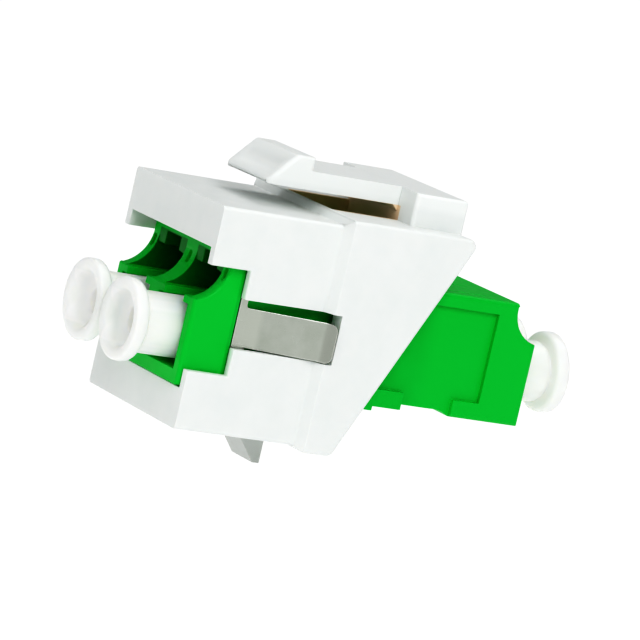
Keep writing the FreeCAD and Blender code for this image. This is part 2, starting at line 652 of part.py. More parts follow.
def build_front_shell():
    body = new_body("adapter_front_shell")
    start = "-size.adapter_front"
    # The upper face stands back above a hollow that leaves room for the plugs' latches.
    outline = rectangle(start, "size.adapter_seam", "-size.front_bottom", "size.front_top")
    extend(body, "shell", "YZ_Plane", outline, "-size.adapter_width / 2", "size.adapter_width")
    round_outside(body)
    hollow = (
        (f"{start} - 1", "size.front_tip"),
        (start, "size.front_tip", "size.scoop_bend"),
        ("size.scoop_face", "size.scoop_height"),
        ("size.scoop_face", "size.front_top + 1"),
        (f"{start} - 1", "size.front_top + 1"),
    )
    extend(body, "hollow", "YZ_Plane", hollow, f"-{REACH} / 2", REACH, cut=True)

    web_face = "size.adapter_seam - size.web"
    deep = {
        "floor": "-size.front_port_floor",
        "roof": "size.port_roof",
        "length": f"{web_face} - ({start}) + 1",
    }
    bay = (f"{start} - 1", f"size.scoop_face - ({start}) + 1")
    channel = ("size.scoop_face - 0.2", "size.adapter_seam - size.channel_stop - size.scoop_face + 0.2")
    cut_ports(body, f"{start} - 1", deep, (bay, channel))
    cut_dimples(body, "size.scoop_face")
    mouth = f"{web_face} - size.barrel_length"
    seat = "size.adapter_seam - size.sleeve_length / 2 - size.sleeve_play"
    build_barrels(body, mouth, "size.barrel_length + 0.2", seat, mouth, 1)

    # The clip lies in a recess along the sides and in a groove over the top.
    band_front = "size.band_start - size.band_room"
    recess = rectangle(band_front, "size.adapter_seam + 1", "-size.recess_bottom", "size.recess_top")
    cut_sides(body, "side_recess", recess)
    groove_end = "size.band_end + size.band_room"
    groove = rectangle(band_front, groove_end, "0", "size.front_top + 1")
    cut_sides(body, "band_groove", groove)
    top_groove = rectangle(
        band_front,
        groove_end,
        "size.front_top - size.steel - size.clip_gap",
        "size.front_top + 1",
    )
    extend(body, "top_groove", "YZ_Plane", top_groove, f"-{REACH} / 2", REACH, cut=True)
    return body


def build_rear_shell():
    body = new_body("adapter_rear_shell")
    face = "size.adapter_end - size.rear_scoop_face"
    bottom = "-size.rear_bottom"
    waist = "-size.rear_bottom + size.waist_depth"
    # Seen from the side: skirt, block, thinner waist, curved step and foot.
    outline = (
        ("size.adapter_seam", "-size.skirt_bottom"),
        ("size.skirt_end", "-size.skirt_bottom"),
        ("size.skirt_end", bottom),
        ("size.block_end", bottom),
        ("size.block_end", waist),
        ("size.step_start", waist, "-size.step_bend"),
        ("size.foot_start", bottom),
        ("size.adapter_end", bottom),
        ("size.adapter_end", "size.rear_top"),
        ("size.adapter_seam", "size.rear_top"),
    )
    extend(body, "shell", "YZ_Plane", outline, "-size.adapter_width / 2", "size.adapter_width")
    round_outside(body)
    hollow = (
        (face, "size.rear_top + 1"),
        (face, "size.scoop_height", "size.rear_scoop_bend"),
        ("size.adapter_end", "size.rear_tip"),
        ("size.adapter_end + 1", "size.rear_tip"),
        ("size.adapter_end + 1", "size.rear_top + 1"),
    )
    extend(body, "hollow", "YZ_Plane", hollow, f"-{REACH} / 2", REACH, cut=True)

    web_face = "size.adapter_seam + size.web"
    deep = {
        "floor": "size.axis_height - size.port_width / 2",
        "roof": "size.axis_height + size.port_width / 2",
        "length": f"size.adapter_end - ({web_face}) + 1",
    }
    bay = (face, "size.rear_scoop_face + 1")
    channel = ("size.adapter_seam + size.channel_stop", f"{face} - size.adapter_seam - size.channel_stop + 0.2")
    cut_ports(body, web_face, deep, (bay, channel))
    mouth = f"{web_face} + size.barrel_length"
    build_barrels(body, f"{web_face} - 0.2", "size.barrel_length + 0.2", "size.adapter_seam", mouth, -1)

    below = "-size.rear_bottom - 1"
    recess = (
        ("size.adapter_seam - 1", "size.recess_top"),
        ("size.recess_end", "size.recess_top"),
        ("size.recess_end", "-size.recess_bottom"),
        ("size.foot_start", "-size.recess_bottom"),
        ("size.foot_start", below),
        ("size.block_end", below),
        ("size.block_end", "-size.recess_bottom"),
        ("size.adapter_seam - 1", "-size.recess_bottom"),
    )
    cut_sides(body, "side_recess", recess)
    bed = "size.rear_top - size.groove_depth"
    for side, sign in SIDES:
        middle = f"{sign} * size.groove_spacing / 2"
        low = f"{middle} - size.groove_width / 2"
        high = f"{middle} + size.groove_width / 2"
        groove = rectangle(low, high, "size.wedge_start", "size.groove_end")
        extend(body, f"groove_{side}", "XY_Plane", groove, bed, "2", cut=True)
        middle = f"{sign} * size.wedge_spacing / 2"
        wedge = (
            (f"{middle} - size.wedge_width / 2", "size.wedge_start"),
            (f"{middle} + size.wedge_width / 2", "size.wedge_start"),
            (middle, "size.groove_end"),
        )
        extend(body, f"wedge_{side}", "XY_Plane", wedge, bed, "2", cut=True)
    return body


# Ceramic sleeves

def build_sleeve(side, sign):
    body = new_body(f"ceramic_sleeve_{side}")
    start = "-size.sleeve_length / 2"
    wall = ("circle", "0", "0", "size.sleeve_radius")
    bore = ("circle", "0", "0", "size.ferrule_radius")
    slit = centred("size.sleeve_slit", "0", "size.sleeve_radius + 1")
    extend(body, "wall", "XZ_Plane", wall, start, "size.sleeve_length")
    extend(body, "bore", "XZ_Plane", bore, f"{start} - 1", "size.sleeve_length + 2", cut=True)
    extend(body, "slit", "XZ_Plane", slit, f"{start} - 1", "size.sleeve_length + 2", cut=True)
    body.setExpression("Placement.Base.x", port_middle(sign))
    body.setExpression("Placement.Base.y", "size.adapter_seam")
    body.setExpression("Placement.Base.z", "size.axis_height")
    return body


# Steel clip: a band over the adapter with a sprung tongue on each side

def build_clip():
    body = new_body("spring_clip")
    inner = "(size.adapter_width / 2 - size.recess_depth + size.clip_gap)"
    outer = f"({inner} + size.steel)"
    top = "size.front_top"
    band = (
        (f"-{outer}", "-size.band_foot"),
        (f"-{inner}", "-size.band_foot"),
        (f"-{inner}", f"{top} - size.steel"),
        (inner, f"{top} - size.steel"),
        (inner, "-size.band_foot"),
        (outer, "-size.band_foot"),
        (outer, top),
        (f"-{outer}", top),
    )
    extend(body, "band", "XZ_Plane", band, "size.band_start", "size.band_width")

    def band_corner(edge):
        middle = edge.CenterOfMass
        return straight_along(edge, "y") and near(abs(middle.x), number(outer)) and near(middle.z, number(top))

    round_edges(body, "band_corners", "size.steel", band_corner)

    root = "size.band_end - size.steel"
    for side, sign in SIDES:
        tongue = (
            (f"{sign} * {inner}", root),
            (f"{sign} * ({inner} + size.tongue_lean)", "size.tongue_bend"),
            (f"{sign} * ({inner} + size.tongue_lean + size.tip_flare)", "size.tongue_tip"),
            (f"{sign} * ({outer} + size.tongue_lean + size.tip_flare)", "size.tongue_tip - size.steel / 2"),
            (f"{sign} * ({outer} + size.tongue_lean)", "size.tongue_bend - size.steel / 3"),
            (f"{sign} * {outer}", root),
        )
        extend(body, f"tongue_{side}", "XY_Plane", tongue, "size.tongue_bottom", "size.tongue_height")
    tip = number("size.tongue_tip")

    def free_corner(edge):
        middle = edge.CenterOfMass
        return middle.y > tip - number("size.steel") and near(edge.tangentAt(edge.FirstParameter).z, 0)

    round_edges(body, "tip_corners", "size.tip_corner", free_corner)
    return body


# Dust caps, turned about their own axis

def build_cap(end, side, sign):
    body = new_body(f"dust_cap_{end}_{side}")
    towards = -1 if end == "front" else 1
    stand_out = "size.cap_stand_out" if end == "front" else "size.rear_cap_stand_out"

    def place(depth):
        """A place along the cap's axis, counted inwards from its outer face."""
        return f"{towards} * ({stand_out} - ({depth}))"

    rim_edge = "size.cap_rim_radius - size.cap_bevel"
    behind_rim = "size.cap_rim + size.cap_neck"
    hole_bottom = "size.cap_bowl + size.cap_hole_depth"
    profile = (
        ("0", place(hole_bottom)),
        ("size.cap_hole_radius", place(hole_bottom)),
        ("size.cap_hole_radius", place("size.cap_bowl")),
        ("size.cap_bowl_radius", place("0")),
        (rim_edge, place("0")),
        ("size.cap_rim_radius", place("size.cap_bevel")),
        ("size.cap_rim_radius", place("size.cap_rim - size.cap_bevel")),
        (rim_edge, place("size.cap_rim")),
        ("size.cap_neck_radius", place("size.cap_rim")),
        ("size.cap_neck_radius", place(behind_rim)),
        ("size.cap_radius", place(behind_rim)),
        ("size.cap_radius", place("size.cap_length")),
        ("size.cap_bore", place("size.cap_length")),
        ("size.cap_bore", place(f"{hole_bottom} + size.cap_web")),
        ("0", place(f"{hole_bottom} + size.cap_web")),
    )
    sketch = new_sketch(body, "profile", "XY_Plane", "0")
    draw_outline(sketch, profile)
    turned = body.newObject("PartDesign::Revolution", "turned")
    turned.Profile = sketch
    turned.ReferenceAxis = (sketch, ["V_Axis"])
    turned.Angle = 360
    body.setExpression("Placement.Base.x", port_middle(sign))
    if end == "front":
        body.setExpression("Placement.Base.y", "-size.adapter_front")
        body.setExpression("Placement.Base.z", "size.axis_height")
        return body
    # The rear caps sit loosely and lean on their inner ends.
    inside = f"(size.cap_length - {stand_out})"
    body.Placement.Rotation = FreeCAD.Rotation(FreeCAD.Vector(1, 0, 0), number("size.cap_slant"))
    body.setExpression("Placement.Rotation.Angle", "size.cap_slant")
    body.setExpression("Placement.Base.y", f"size.adapter_end - {inside} * (1 - cos(size.cap_slant))")
    body.setExpression("Placement.Base.z", f"size.axis_height + {inside} * sin(size.cap_slant)")
    return body


def build_all():
    pieces = [build_housing(), build_latch(), build_front_shell(), build_rear_shell(), build_clip()]
    for side, sign in SIDES:
        pieces.append(build_sleeve(side, sign))
        for end in ("front", "rear"):
            pieces.append(build_cap(end, side, sign))
    return pieces


def check(pieces):
    """Stop if any object failed or any piece isn't one sound solid."""
    for item in doc.Objects:
        if "Invalid" in item.State or "Error" in item.State:
            raise RuntimeError(f"{item.Label} failed: {item.State}")
    for piece in pieces:
        shape = piece.Shape
        if shape.isNull() or not shape.isValid() or len(shape.Solids) != 1:
            raise RuntimeError(f"{piece.Label} isn't one sound solid")


def write(pieces):
    os.makedirs("parts", exist_ok=True)
    for piece in pieces:
        piece.Shape.exportStep(f"parts/{piece.Label}.step")
        box = piece.Shape.BoundBox
        print(
            f"{piece.Label}: {piece.Shape.Volume:.2f} mm3,"
            f" x {box.XMin:.2f} {box.XMax:.2f} y {box.YMin:.2f} {box.YMax:.2f} z {box.ZMin:.2f} {box.ZMax:.2f}"
        )


made = build_all()
doc.recompute()
check(made)
write(made)
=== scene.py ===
"""A duplex fibre optic keystone jack, dressed for a studio picture.

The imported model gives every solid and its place. Each solid is taken over as a moulding, whose
facets are joined and whose hard edges are softened, and then gets its own finish. The dust caps
are turned anew. All sizes are in metres, unless a name or docstring says millimetres.
"""

import logging
import math
from dataclasses import dataclass, field
from enum import Enum

import bmesh
import bpy
from mathutils import Matrix, Vector
from mathutils.bvhtree import BVHTree


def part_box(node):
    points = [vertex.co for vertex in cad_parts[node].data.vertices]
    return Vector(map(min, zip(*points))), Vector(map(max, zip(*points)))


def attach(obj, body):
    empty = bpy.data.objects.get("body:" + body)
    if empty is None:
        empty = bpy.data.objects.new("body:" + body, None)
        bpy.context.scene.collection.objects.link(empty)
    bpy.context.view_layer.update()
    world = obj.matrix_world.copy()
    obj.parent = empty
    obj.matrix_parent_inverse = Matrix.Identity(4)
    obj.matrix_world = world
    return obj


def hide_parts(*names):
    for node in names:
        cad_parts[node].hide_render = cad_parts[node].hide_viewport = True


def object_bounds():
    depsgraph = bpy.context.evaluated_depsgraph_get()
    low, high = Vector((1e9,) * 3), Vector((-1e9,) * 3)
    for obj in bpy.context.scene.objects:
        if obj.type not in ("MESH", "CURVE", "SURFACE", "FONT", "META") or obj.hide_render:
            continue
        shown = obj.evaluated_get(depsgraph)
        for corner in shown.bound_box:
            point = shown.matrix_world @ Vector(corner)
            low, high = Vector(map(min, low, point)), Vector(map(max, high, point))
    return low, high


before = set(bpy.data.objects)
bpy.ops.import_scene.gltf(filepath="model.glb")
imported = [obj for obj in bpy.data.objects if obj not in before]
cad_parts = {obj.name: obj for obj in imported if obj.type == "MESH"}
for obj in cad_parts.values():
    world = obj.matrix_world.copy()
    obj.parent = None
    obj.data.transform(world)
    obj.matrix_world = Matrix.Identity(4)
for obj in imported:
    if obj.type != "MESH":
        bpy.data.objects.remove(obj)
cad_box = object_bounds()

log = logging.getLogger("keystone_jack")

Colour = tuple[float, float, float]
Place = tuple[float, float, float]
Box = tuple[Place, Place]

MM = 0.001
PORT_PITCH = 6.25
"""The distance between the two fibre axes, in millimetres."""

MIX_SHARE, MIX_FIRST, MIX_SECOND = 0, 6, 7
"""The inputs of a mix node that blends colours."""
MIX_COLOUR = 2
"""Its output."""
BRIGHTNESS_CURVE = 3
"""The tone curve that works on all three colours."""


def in_mm(across: float, along: float, up: float) -> Place:
    """A place or size given in millimetres, in metres."""
    return (across * MM, along * MM, up * MM)


def add_object(name: str, data: bpy.types.ID) -> bpy.types.Object:
    """Put a mesh, a light or a camera into the scene.

    Args:
        name: The object's name.
        data: What it shows.

    Returns:
        The object.
    """
    holder = bpy.data.objects.new(name, data)
    bpy.context.scene.collection.objects.link(holder)
    return holder


class Slot(Enum):
    """The record's material slots, one for each material of the jack."""

    WHITE = "white_plastic"
    GREEN = "green_plastic"
    STEEL = "spring_steel"
    CERAMIC = "ceramic"
    CAP = "cap_plastic"


class End(Enum):
    """The two ends of the jack, which both take plugs."""

    FRONT = "front"
    REAR = "rear"


class Side(Enum):
    """The two fibre channels, by where they lie, seen from the front."""

    LEFT = "left"
    RIGHT = "right"


@dataclass(frozen=True)
class Zone:
    """A box in which a finish has another colour, which fades out over a share of its half size.
    Here each zone paints light or shade.
    """

    low: Place
    high: Place
    colour: Colour
    fade: float = 0.02


class NodeKit:
    """The node tree of one material, with short ways to add what the finishes share."""

    LAYER_SHARE = 0.55
    PATTERN_RANGE = (0.3, 0.7)
    # How the painted edge highlight fades in from the edge, the size of its patches and their
    # range.
    HIGHLIGHT_TURN = (0.995, 0.90)
    HIGHLIGHT_PATCH = 0.9 * MM
    HIGHLIGHT_RANGE = (0.45, 1.0)

    def __init__(self, name: str) -> None:
        """Start a material with only a shader and an output.

        Args:
            name: The material's name.
        """
        self.material = bpy.data.materials.new(name)
        self.material.use_nodes = True
        self.tree = self.material.node_tree
        self.tree.nodes.clear()
        self.output = self.add("ShaderNodeOutputMaterial")
        self.shader = self.add("ShaderNodeBsdfPrincipled")
        self.join(self.shader, "BSDF", self.output, "Surface")
        self.place = self.add("ShaderNodeTexCoord")

    def add(self, kind: str) -> bpy.types.Node:
        """Add a node of this kind."""
        return self.tree.nodes.new(kind)

    def join(
        self, giver: bpy.types.Node, out: str | int, taker: bpy.types.Node, into: str | int
    ) -> None:
        """Link one node's output to another node's input.

        Args:
            giver: The node that gives the value.
            out: Its output, by name or number.
            taker: The node that takes it.
            into: Its input, by name or number.
        """
        self.tree.links.new(giver.outputs[out], taker.inputs[into])

    def noise(
        self, size: float, detail: float, stretch: Place = (1.0, 1.0, 1.0)
    ) -> bpy.types.Node:
        """A noise pattern on the piece's own coordinates.

        Args:
            size: The width of one blotch, in metres.
            detail: How many finer layers it has.
            stretch: How much the pattern is squeezed along each axis.

        Returns:
            The noise node, whose Fac lies round 0.5.
        """
        mapping = self.add("ShaderNodeMapping")
        mapping.inputs["Scale"].default_value = stretch
        self.join(self.place, "Object", mapping, "Vector")
        pattern = self.add("ShaderNodeTexNoise")
        pattern.inputs["Scale"].default_value = 1.0 / size
        pattern.inputs["Detail"].default_value = detail
        pattern.inputs["Roughness"].default_value = self.LAYER_SHARE
        self.join(mapping, "Vector", pattern, "Vector")
        return pattern

    def between(
        self, pattern: bpy.types.Node, out: str, low: float = 0.0, high: float = 1.0
    ) -> bpy.types.Node:
        """A pattern's middle range spread from low to high.

        Args:
            pattern: The pattern node.
            out: The output that is read.
            low: The value at the lower end of the middle range.
            high: The value at its upper end.

        Returns:
            The node that gives the spread value as Result.
        """
        spread = self.add("ShaderNodeMapRange")
        spread.inputs["From Min"].default_value = self.PATTERN_RANGE[0]
        spread.inputs["From Max"].default_value = self.PATTERN_RANGE[1]
        spread.inputs["To Min"].default_value = low
        spread.inputs["To Max"].default_value = high
        self.join(pattern, out, spread, "Value")
        return spread

    def tint(
        self, share: bpy.types.Node, out: str, first: bpy.types.Node | Colour, second: Colour
    ) -> bpy.types.Node:
        """A blend of two colours by a share.

        Args:
            share: The node that gives the second colour's share.
            out: Its output.
            first: The first colour, or the mix node that gives it.
            second: The second colour.

        Returns:
            The mix node, read at MIX_COLOUR.
        """
        blend = self.add("ShaderNodeMix")
        blend.data_type = "RGBA"
        blend.inputs[MIX_SECOND].default_value = (*second, 1.0)
        self.join(share, out, blend, MIX_SHARE)
        if isinstance(first, tuple):
            blend.inputs[MIX_FIRST].default_value = (*first, 1.0)
        else:
            self.join(first, MIX_COLOUR, blend, MIX_FIRST)
        return blend

    def region(self, low: Place, high: Place, fade: float) -> bpy.types.Node:
        """A mask that is 1 inside a box of the piece's own coordinates.

        Args:
            low: The box's lower corner, in metres.
            high: Its upper corner.
            fade: The share of the box's half size over which the mask falls to 0 outside it.

        Returns:
            The node that gives the mask as Result.
        """
        middle = [(first + second) / 2 for first, second in zip(low, high)]
        half = [(second - first) / 2 for first, second in zip(low, high)]
        shift = [-place / size for place, size in zip(middle, half)]
        centred = self.add("ShaderNodeMapping")
        centred.inputs["Location"].default_value = shift
        centred.inputs["Scale"].default_value = [1 / size for size in half]
        self.join(self.place, "Object", centred, "Vector")
        away = self.add("ShaderNodeVectorMath")
        away.operation = "ABSOLUTE"
        self.join(centred, "Vector", away, 0)
        parts = self.add("ShaderNodeSeparateXYZ")
        self.join(away, "Vector", parts, "Vector")
        larger = self.add("ShaderNodeMath")
        larger.operation = "MAXIMUM"
        self.join(parts, "X", larger, 0)
        self.join(parts, "Y", larger, 1)
        largest = self.add("ShaderNodeMath")
        largest.operation = "MAXIMUM"
        self.join(larger, "Value", largest, 0)
        self.join(parts, "Z", largest, 1)
        mask = self.add("ShaderNodeMapRange")
        mask.inputs["From Min"].default_value = 1.0
        mask.inputs["From Max"].default_value = 1.0 + fade
        mask.inputs["To Min"].default_value = 1.0
        mask.inputs["To Max"].default_value = 0.0
        self.join(largest, "Value", mask, "Value")
        return mask

    def tint_zones(self, blend: bpy.types.Node, zones: tuple[Zone, ...]) -> bpy.types.Node:
        """A mix node's colour with the colours of zones laid over it.

        Args:
            blend: The mix node.
            zones: The zones, each over the ones before it.

        Returns:
            The last mix node, read at MIX_COLOUR.
        """
        for zone in zones:
            mask = self.region(zone.low, zone.high, zone.fade)
            blend = self.tint(mask, "Result", blend, zone.colour)
        return blend

    def edge_highlight(self, reach: float) -> bpy.types.Node:
        """A mask that is 1 along the piece's edges, broken up in patches, where a highlight is
        painted.

        Args:
            reach: How far from an edge the painted highlight shows, in metres.

        Returns:
            The node that gives the mask as Value.
        """
        rounded = self.add("ShaderNodeBevel")
        rounded.samples = 4
        rounded.inputs["Radius"].default_value = reach
        surface = self.add("ShaderNodeNewGeometry")
        likeness = self.add("ShaderNodeVectorMath")
        likeness.operation = "DOT_PRODUCT"
        self.join(rounded, "Normal", likeness, 0)
        self.join(surface, "Normal", likeness, 1)
        turned = self.add("ShaderNodeMapRange")
        turned.inputs["From Min"].default_value = self.HIGHLIGHT_TURN[0]
        turned.inputs["From Max"].default_value = self.HIGHLIGHT_TURN[1]
        self.join(likeness, "Value", turned, "Value")
        patches = self.between(self.noise(self.HIGHLIGHT_PATCH, 3.0), "Fac", *self.HIGHLIGHT_RANGE)
        # painted highlight: strongest right at the edges, broken up in patches
        highlight = self.add("ShaderNodeMath")
        highlight.operation = "MULTIPLY"
        self.join(turned, "Result", highlight, 0)
        self.join(patches, "Result", highlight, 1)
        return highlight

    def relief(self, pattern: bpy.types.Node, height: float, strength: float) -> bpy.types.Node:
        """A bump from a pattern.

        Args:
            pattern: The pattern node, read by Fac.
            height: The relief's height in metres.
            strength: How much of it shows.

        Returns:
            The bump node.
        """
        bump = self.add("ShaderNodeBump")
        bump.inputs["Distance"].default_value = height
        bump.inputs["Strength"].default_value = strength
        self.join(pattern, "Fac", bump, "Height")
        return bump


@dataclass(frozen=True)
class Plastic:
    """A moulded plastic: faint clouding, a fine moulded grain, uneven gloss, a painted highlight
    along its edges and painted light and shade in zones.
    """

    name: str
    colour: Colour
    clouded: Colour
    roughness: float
    grain: float = 0.10 * MM
    grain_height: float = 0.004 * MM
    grain_strength: float = 0.35
    cloud: float = 2.2 * MM
    gloss_patch: float = 0.7 * MM
    gloss_spread: float = 0.05
    refraction: float = 1.5
    scatter: float = 0.0
    scatter_depth: float = 0.5 * MM
    scatter_colour: Colour = (1.0, 0.9, 0.8)
    shine: float = 0.5
    # edge_colour paints a highlight along the edges; the zones paint light and shade
    edge_colour: Colour | None = None
    edge_reach: float = 0.10 * MM
    zones: tuple[Zone, ...] = ()

    def make(self) -> bpy.types.Material:
        """Build the material.

        Returns:
            The finished material.
        """
        kit = NodeKit(self.name)
        cloud = kit.noise(self.cloud, 4.0)
        share = kit.between(cloud, "Fac")
        blend = kit.tint(share, "Result", self.colour, self.clouded)
        # painted highlight along the edges
        if self.edge_colour:
            blend = kit.tint(kit.edge_highlight(self.edge_reach), "Value", blend, self.edge_colour)
        # painted light and shade in zones
        blend = kit.tint_zones(blend, self.zones)
        kit.join(blend, MIX_COLOUR, kit.shader, "Base Color")
        gloss = kit.noise(self.gloss_patch, 3.0)
        smoothest, roughest = self.roughness - self.gloss_spread, self.roughness + self.gloss_spread
        spread = kit.between(gloss, "Fac", smoothest, roughest)
        kit.join(spread, "Result", kit.shader, "Roughness")
        grain = kit.noise(self.grain, 2.0)
        bump = kit.relief(grain, self.grain_height, self.grain_strength)
        kit.join(bump, "Normal", kit.shader, "Normal")
        sockets = kit.shader.inputs
        sockets["IOR"].default_value = self.refraction
        sockets["Subsurface Weight"].default_value = self.scatter
        sockets["Subsurface Scale"].default_value = self.scatter_depth
        sockets["Subsurface Radius"].default_value = self.scatter_colour
        sockets["Specular IOR Level"].default_value = self.shine
        return kit.material


@dataclass(frozen=True)
class RolledSteel:
    """A thin sprung steel strip: rolling lines along it, faint stains, a painted highlight along
    its cut edges and painted light and shade in zones.
    """

    name: str
    colour: Colour
    stained: Colour
    roughness: float
    stain: float = 1.6 * MM
    line: float = 0.05 * MM
    line_height: float = 0.002 * MM
    line_strength: float = 0.3
    line_stretch: Place = (1.0, 0.04, 1.0)
    gloss_range: tuple[float, float] = (-0.07, 0.09)
    # edge_colour paints a highlight along the edges; the zones paint light and shade
    edge_colour: Colour = (0.95, 0.94, 0.90)
    edge_reach: float = 0.10 * MM
    zones: tuple[Zone, ...] = ()

    def make(self) -> bpy.types.Material:
        """Build the material.

        Returns:
            The finished material.
        """
        kit = NodeKit(self.name)
        stain = kit.noise(self.stain, 4.0)
        share = kit.between(stain, "Fac")
        blend = kit.tint(share, "Result", self.colour, self.stained)
        # painted light and shade in zones
        blend = kit.tint_zones(blend, self.zones)
        # painted highlight along the edges
        blend = kit.tint(kit.edge_highlight(self.edge_reach), "Value", blend, self.edge_colour)
        kit.join(blend, MIX_COLOUR, kit.shader, "Base Color")
        lines = kit.noise(self.line, 3.0, self.line_stretch)
        smoothest, roughest = (self.roughness + more for more in self.gloss_range)
        spread = kit.between(lines, "Fac", smoothest, roughest)
        kit.join(spread, "Result", kit.shader, "Roughness")
        bump = kit.relief(lines, self.line_height, self.line_strength)
        kit.join(bump, "Normal", kit.shader, "Normal")
        kit.shader.inputs["Metallic"].default_value = 1.0
        return kit.material


FINISHES: dict[Slot, bpy.types.Material] = {}


def white_painted_light_and_shade() -> tuple[Zone, ...]:
    """Where light and shade are painted on the white moulding: brown shade in the latch well under
    the arm, shade on the tooth, and light on the latch with its root.

    Returns:
        The zones, each over the ones before it.
    """
    return (
        # painted brown shade in the latch well, under the arm
        Zone(in_mm(-3.85, 10.8, 4.9), in_mm(3.85, 16.05, 9.83), (0.86, 0.67, 0.48), fade=0.012),
        # painted shade on the tooth
        Zone(in_mm(-1.7, 7.9, -11.5), in_mm(1.7, 10.6, -8.25), (0.50, 0.525, 0.50), fade=0.03),
        # painted light on the latch and its root
        Zone(in_mm(-9.5, 4.0, 10.4), in_mm(9.5, 24.0, 12.6), (0.86, 0.89, 0.875), fade=0.45),
    )


def green_painted_light_and_shade() -> tuple[Zone, ...]:
    """Where light and shade are painted on the green moulding: light on its front and its rear end,
    and shade inside the two front bays.

    Returns:
        The zones, each over the ones before it.
    """
    bays = tuple(
        # painted shade inside each front bay
        Zone(in_mm(middle - 2.2, 0.1, 1.25), in_mm(middle + 2.2, 9.0, 4.3), (0.0, 0.24, 0.022))
        for middle in (-PORT_PITCH / 2, PORT_PITCH / 2)
    )
    return (
        # painted light on the front
        Zone(in_mm(-9.0, -3.0, -9.0), in_mm(9.0, 3.0, 8.0), (0.001, 0.53, 0.058), fade=0.04),
        # painted light on the rear end
        Zone(in_mm(-12.0, 20.5, -12.0), in_mm(12.0, 36.0, 12.0), (0.001, 0.51, 0.056), fade=0.2),
        *bays,
    )


def steel_painted_light_and_shade() -> tuple[Zone, ...]:
    """Where light and shade are painted on the steel: shade on the tongues' tips and light on the
    band.

    Returns:
        The zones, each over the ones before it.
    """
    return (
        # painted shade on the tongues' tips
        Zone(in_mm(-9.0, 10.05, -3.0), in_mm(9.0, 11.2, 3.0), (0.41, 0.43, 0.39), fade=0.3),
        # painted light on the band
        Zone(in_mm(-12.0, -2.0, -12.0), in_mm(12.0, 5.1, 12.0), (0.53, 0.56, 0.50), fade=0.12),
    )


def cap_painted_light() -> tuple[Zone, ...]:
    """Where light is painted on the caps: inside the front ones' bowls, lighter and warmer.

    Returns:
        A zone for each front cap.
    """
    rim = 1.2 * MM
    zones = []
    for side in Side:
        low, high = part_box(f"dust_cap_front_{side.value}")
        inner = (low[0] + rim, low[1] - MM, low[2] + rim)
        outer = (high[0] - rim, high[1] + MM, high[2] - rim)
        # painted light inside the bowl
        zones.append(Zone(inner, outer, (1.0, 0.99, 0.93), fade=0.08))
    return tuple(zones)


def mix_finishes() -> None:
    """Make every finish once, so that the pieces share them."""
    made = {
        Slot.WHITE: Plastic(
            "white_moulding", (0.79, 0.825, 0.81), (0.83, 0.855, 0.84), 0.42,
            scatter=0.15, scatter_depth=0.6 * MM,
            # edge_colour is a painted highlight; the zones paint light and shade
            edge_colour=(0.90, 0.915, 0.90), zones=white_painted_light_and_shade(),
        ),
        Slot.GREEN: Plastic(
            "green_moulding", (0.0, 0.45, 0.047), (0.001, 0.49, 0.056), 0.40,
            scatter=0.04, scatter_depth=0.3 * MM, scatter_colour=(0.3, 1.0, 0.4), shine=0.18,
            # edge_colour is a painted highlight; the zones paint light and shade
            edge_colour=(0.01, 0.62, 0.11), zones=green_painted_light_and_shade(),
        ),
        Slot.STEEL: RolledSteel(
            # the zones paint light and shade; the edges get a painted highlight
            "rolled_steel", (0.50, 0.53, 0.48), (0.44, 0.47, 0.42), 0.34, zones=steel_painted_light_and_shade(),
        ),
        Slot.CERAMIC: Plastic(
            "white_ceramic", (0.86, 0.85, 0.82), (0.88, 0.87, 0.85), 0.18, grain_height=0.001 * MM,
        ),
        Slot.CAP: Plastic(
            "soft_cap_plastic", (0.88, 0.90, 0.85), (0.91, 0.925, 0.88), 0.38,
            scatter=1.0, scatter_depth=2.0 * MM, scatter_colour=(1.0, 0.95, 0.84),
            # edge_colour is a painted highlight; the zones paint light inside the bowls
            edge_colour=(0.90, 0.91, 0.87), zones=cap_painted_light(),
        ),
    }
    for slot, finish in made.items():
        FINISHES[slot] = finish.make()


@dataclass(frozen=True)
class WideRounding:
    """A box, alike on the left and the right, whose hard edges are rounded more than the rest."""

    low: Place
    high: Place
    offset: float

    def holds(self, edge: bmesh.types.BMEdge) -> bool:
        """Whether both ends of an edge lie in the box.

        Args:
            edge: The edge that is asked about.

        Returns:
            True if it lies in the box.
        """
        for vertex in edge.verts:
            place = (abs(vertex.co.x), vertex.co.y, vertex.co.z)
            if not all(low <= own <= high for low, own, high in zip(self.low, place, self.high)):
                return False
        return True


def dress(
    shape: bmesh.types.BMesh, name: str, slot: Slot, smooth_angle: float
) -> bpy.types.Object:
    """Turn a shape into a smoothly shaded piece with its finish.

    Args:
        shape: The shape, which is freed.
        name: The piece's name.
        slot: The slot whose finish it gets.
        smooth_angle: The angle past which an edge stays sharp.

    Returns:
        The piece.
    """
    mesh = bpy.data.meshes.new(name)
    shape.to_mesh(mesh)
    shape.free()
    if "custom_normal" in mesh.attributes:
        mesh.attributes.remove(mesh.attributes["custom_normal"])
    mesh.shade_smooth()
    mesh.set_sharp_from_angle(angle=smooth_angle)
    mesh.materials.clear()
    mesh.materials.append(FINISHES[slot])
    piece = add_object(name, mesh)
    normals = piece.modifiers.new("even_faces", "WEIGHTED_NORMAL")
    normals.mode = "FACE_AREA"
    normals.weight = 70
    normals.keep_sharp = True
    return piece


